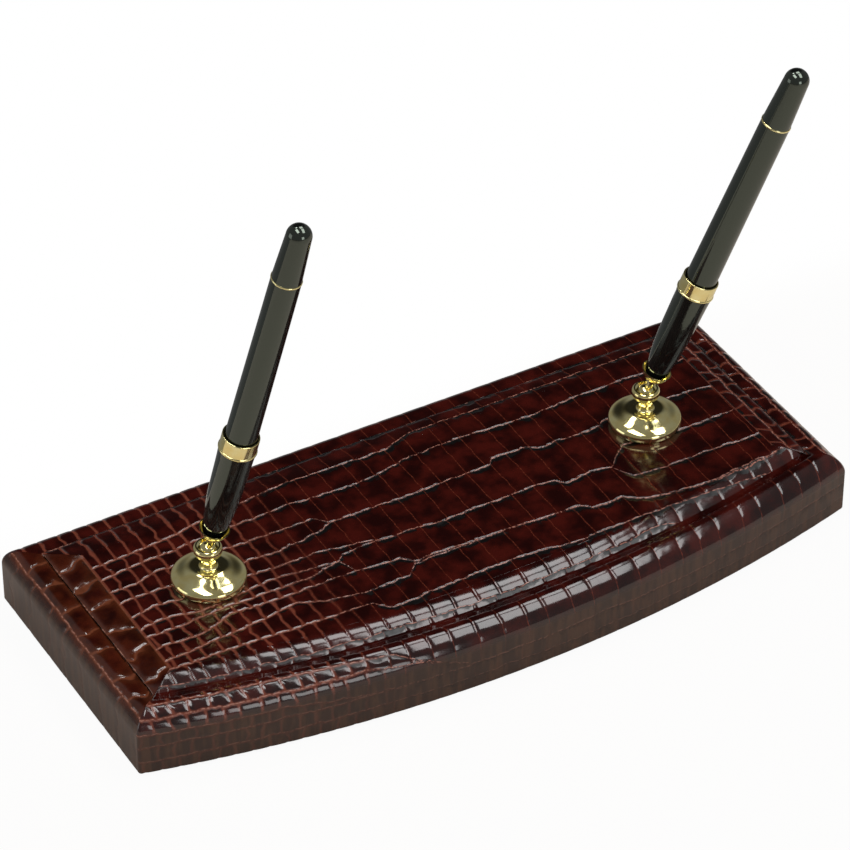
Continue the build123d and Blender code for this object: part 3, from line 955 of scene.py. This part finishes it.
def edge_piece(name, edge, pattern, along, flatness, amber=0.0):
    """One side of the leather's edge. The profile runs down the rows and the side runs along the columns.
    edge gives the plan's stretches, and flatness how far the moulding is flattened at a y, 0 to 1. The
    pattern runs along x (0) or y (1)."""
    run, inset, height, out_part, up_part = (row[:, None] for row in profile)
    rounding = corner_round * (1 - np.minimum(inset, plateau_inset) / plateau_inset) + least_round
    plans, outs = zip(*edge(inset, rounding))
    plan = joined(plans)
    out = joined([direction + 0 * points for direction, points in zip(outs, plans)])
    shape = plan[0].shape
    share = flatness(plan[1])
    base = np.array([plan[0], plan[1], height + (flattened(inset, height) - height) * share])
    rounded = np.array([out[0] * out_part, out[1] * out_part, up_part + np.zeros(shape)])
    crossed = unit(np.cross(np.gradient(base, axis=2), np.gradient(base, axis=1), axis=0))
    crossed *= np.sign((crossed * rounded).sum(axis=0))
    normal = unit(rounded * (1 - share) + crossed * share)
    marks, depth = pattern(plan[along], run + np.zeros(shape), inset + np.zeros(shape))
    depth = np.minimum(depth, deepest)
    below = run > run[-turn_in_rows - foot_rows]
    depth = np.where(below, depth * ramp(inset, *turn_in_fade), depth)
    sunk, normals = pressed(base, normal, depth)
    rows, columns = shape
    inner = np.linspace(0, rows - 1, lining_rows).astype(int)
    lining = base[:, inner] - skin * normal[:, inner]
    number = np.arange(rows * columns).reshape(rows, columns)
    lined = np.arange(lining_rows * columns).reshape(lining_rows, columns) + rows * columns
    quads = np.concatenate([
        grid_faces(rows, columns)[:, ::-1],
        grid_faces(lining_rows, columns, rows * columns),
        bridge(number[0], lined[0]),
        bridge(number[-1], lined[-1])[:, ::-1],
    ])
    first_end = np.concatenate([number[::-1, 0], lined[:, 0]])
    last_end = np.concatenate([number[:, -1], lined[::-1, -1]])
    faces = quads.tolist() + [first_end.tolist(), last_end.tolist()]
    points = np.concatenate([flat_list(sunk), flat_list(lining)])
    all_normals = np.concatenate([flat_list(normals), -flat_list(normal[:, inner])])
    leather_piece(name, points, faces, all_normals, pattern_values(marks, lining_rows * columns, amber))


def plateau_grid():
    """The flat top: x along the columns, and y in even shares from the bowed edge to the back edge."""
    angle = np.linspace(-1, 1, columns_top + 1) * bow_angle(plateau_inset, least_round)
    x = (bow_radius - plateau_inset) * np.sin(angle) + np.zeros((rows_top + 1, 1))
    share = np.linspace(0, 1, rows_top + 1)[:, None]
    edge = plateau_edge(x)
    y = edge + (back_line - plateau_inset - edge) * share
    base = np.array([x, y, np.full(x.shape, top)])
    normal = np.zeros_like(base)
    normal[2] = 1
    marks, depth = plateau_pattern(x, y)
    sunk, normals = pressed(base, normal, depth)
    return base, sunk, normals, marks


def plateau_piece(name, plateau, first, last):
    """Some columns of the flat top as one piece, closed below."""
    chosen = slice(first, last + 1)
    base, sunk, normals = (grid[:, :, chosen] for grid in plateau[:3])
    marks = {key: grid[:, chosen] for key, grid in plateau[3].items()}
    rows, columns = base.shape[1:]
    number = np.arange(rows * columns).reshape(rows, columns)
    loop = np.concatenate([number[0], number[1:, -1], number[-1, -2::-1], number[-2:0:-1, 0]])
    below = np.arange(len(loop)) + rows * columns
    rim = base.reshape(3, -1)[:, loop].T - np.array([0, 0, skin])
    closed, closed_below = np.append(loop, loop[0]), np.append(below, below[0])
    quads = np.concatenate([grid_faces(rows, columns), bridge(closed, closed_below)[:, ::-1]])
    faces = quads.tolist() + [below[::-1].tolist()]
    points = np.concatenate([flat_list(sunk), rim])
    down = np.tile([0.0, 0.0, -1.0], (len(loop), 1))
    all_normals = np.concatenate([flat_list(normals), down])
    return leather_piece(name, points, faces, all_normals, pattern_values(marks, len(loop), 0.0))


along_x, along_y = 0, 1
# The left end's amber tone is painted sheen
left_amber = 0.6
edge_piece("leather_front", front_edge, front_pattern, along_x, full_moulding)
edge_piece("leather_right", right_edge, right_pattern, along_y, end_moulding)
edge_piece("leather_back", back_edge, back_pattern, along_x, flat_moulding)
edge_piece("leather_left", left_edge, left_pattern, along_y, end_moulding, left_amber)
plateau = plateau_grid()
leather_top_left = plateau_piece("leather_top_left", plateau, 0, columns_top // 2)
plateau_piece("leather_top_right", plateau, columns_top // 2, columns_top)
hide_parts("leather_cover")


# CAD nodes that are shown

slots = {part["node"]: part["material_slot"] for part in frame["record"]["subparts"]}
for name, node in nodes.items():
    node.data.materials.clear()
    node.data.materials.append(finishes[slots[name]])


# Floor, light and camera

floor_colours = (0.68, 0.60, 0.53), (0.70, 0.62, 0.55)
floor_whiteness = 0.95
floor_reach = 6.0
floor_back = 0.10
all_white_from = 0.06

room_dark_side = (0.386, 0.72, 0.58)
room_dark = 0.02
room_bright = 0.25
bright_up_to = 0.80
dark_from = 0.93

# Lamps: direction from the object, width, height, radiance, and the direction that the width lies along
lamp_distance = 1.5
lamps = {
    "lamp_right": ((0.38, -0.29, 0.87), 0.52, 0.85, 4.6, (1, 0, 0)),
    "lamp_strip": ((0.32, 0.20, 0.92), 0.52, 0.42, 5.0, (1, 0, 0)),
    "lamp_left": ((-0.28, -0.08, 0.95), 0.40, 0.90, 6.0, (1, 0, 0)),
    "lamp_corner": ((-0.11, 0.40, 0.91), 0.22, 0.22, 9.0, (1, 0, 0)),
    "card_front": ((0.06, -0.95, 0.28), 0.50, 0.50, 3.0, (1, 0, 0)),
    "card_left": ((-0.95, 0.28, 0.22), 0.80, 0.70, 1.1, (0, 1, 0)),
}


def floor():
    """A plain pale floor that ends behind the object. The camera sees it as nearly white, and as all white
    towards its back edge, so that little but the object's shadow shows on it."""
    white = Finish("white_floor", Roughness=0.9)
    white.set("Base Color", white.blend(white.noise(size=300.0), *floor_colours))
    seen = Wire(white, white.node("ShaderNodeLightPath").outputs["Is Camera Ray"])
    glow = white.node("ShaderNodeEmission", {}, (1, 1, 1, 1), 1.0)
    place = white.node("ShaderNodeSeparateXYZ", {}, white.place())
    behind = Wire(white, place.outputs["Y"]).step(all_white_from, floor_back)
    mix = white.node("ShaderNodeMixShader", {}, seen * (floor_whiteness + (1 - floor_whiteness) * behind))
    white.tree.links.new(white.shader.outputs[0], mix.inputs[1])
    white.tree.links.new(glow.outputs[0], mix.inputs[2])
    white.tree.links.new(mix.outputs[0], white.tree.nodes["Material Output"].inputs["Surface"])
    mesh = bpy.data.meshes.new("floor")
    corners = [
        (-floor_reach, -floor_reach, 0),
        (floor_reach, -floor_reach, 0),
        (floor_reach, floor_back, 0),
        (-floor_reach, floor_back, 0),
    ]
    mesh.from_pydata(corners, [], [(0, 1, 2, 3)])
    mesh.materials.append(white.material)
    made = placed("floor", mesh)


def softbox(name, direction, width, height, radiance, across):
    """A rectangular lamp facing the object from a direction. Its width lies along another."""
    lamp = bpy.data.lights.new(name, "AREA")
    lamp.shape = "RECTANGLE"
    lamp.size = width
    lamp.size_y = height
    lamp.energy = radiance * pi * width * height
    towards = Vector(direction).normalized()
    side = (Vector(across) - towards * towards.dot(Vector(across))).normalized()
    turned = Matrix((side, towards.cross(side), towards)).transposed().to_4x4()
    placed(name, lamp).matrix_world = Matrix.Translation(towards * lamp_distance) @ turned


def surroundings():
    """White where the camera looks past the object. The light comes from a dim room that is darker still
    in one direction, above and behind the object, which the leather would otherwise mirror as a veil."""
    world = bpy.data.worlds.new("studio")
    bpy.context.scene.world = world
    world.use_nodes = True
    tree = world.node_tree
    tree.nodes.clear()
    output = tree.nodes.new("ShaderNodeOutputWorld")
    mix = tree.nodes.new("ShaderNodeMixShader")
    seen = tree.nodes.new("ShaderNodeBackground")
    seen.inputs["Color"].default_value = (1, 1, 1, 1)
    room = tree.nodes.new("ShaderNodeBackground")
    path = tree.nodes.new("ShaderNodeLightPath")
    where = tree.nodes.new("ShaderNodeTexCoord")
    facing = tree.nodes.new("ShaderNodeVectorMath")
    facing.operation = "DOT_PRODUCT"
    facing.inputs[1].default_value = room_dark_side
    dimming = tree.nodes.new("ShaderNodeMapRange")
    dimming.interpolation_type = "SMOOTHSTEP"
    dimming.inputs["From Min"].default_value = bright_up_to
    dimming.inputs["From Max"].default_value = dark_from
    dimming.inputs["To Min"].default_value = room_bright
    dimming.inputs["To Max"].default_value = room_dark
    tree.links.new(where.outputs["Generated"], facing.inputs[0])
    tree.links.new(facing.outputs["Value"], dimming.inputs["Value"])
    tree.links.new(dimming.outputs[0], room.inputs["Strength"])
    tree.links.new(path.outputs["Is Camera Ray"], mix.inputs[0])
    tree.links.new(room.outputs[0], mix.inputs[1])
    tree.links.new(seen.outputs[0], mix.inputs[2])
    tree.links.new(mix.outputs[0], output.inputs["Surface"])


floor()
for name, settings in lamps.items():
    softbox(name, *settings)
surroundings()

camera = bpy.data.cameras.new("camera")
camera.sensor_width = 36.0
camera.lens = 187.94
camera.clip_end = 20.0
camera_object = placed("camera", camera)
camera_object.location = (-0.59549, -1.02687, 1.00010)
camera_object.rotation_euler = (0.903090447706981, -0.000166748, -0.5205595001826299)
bpy.context.scene.camera = camera_object
bpy.context.scene.view_settings.view_transform = "Standard"
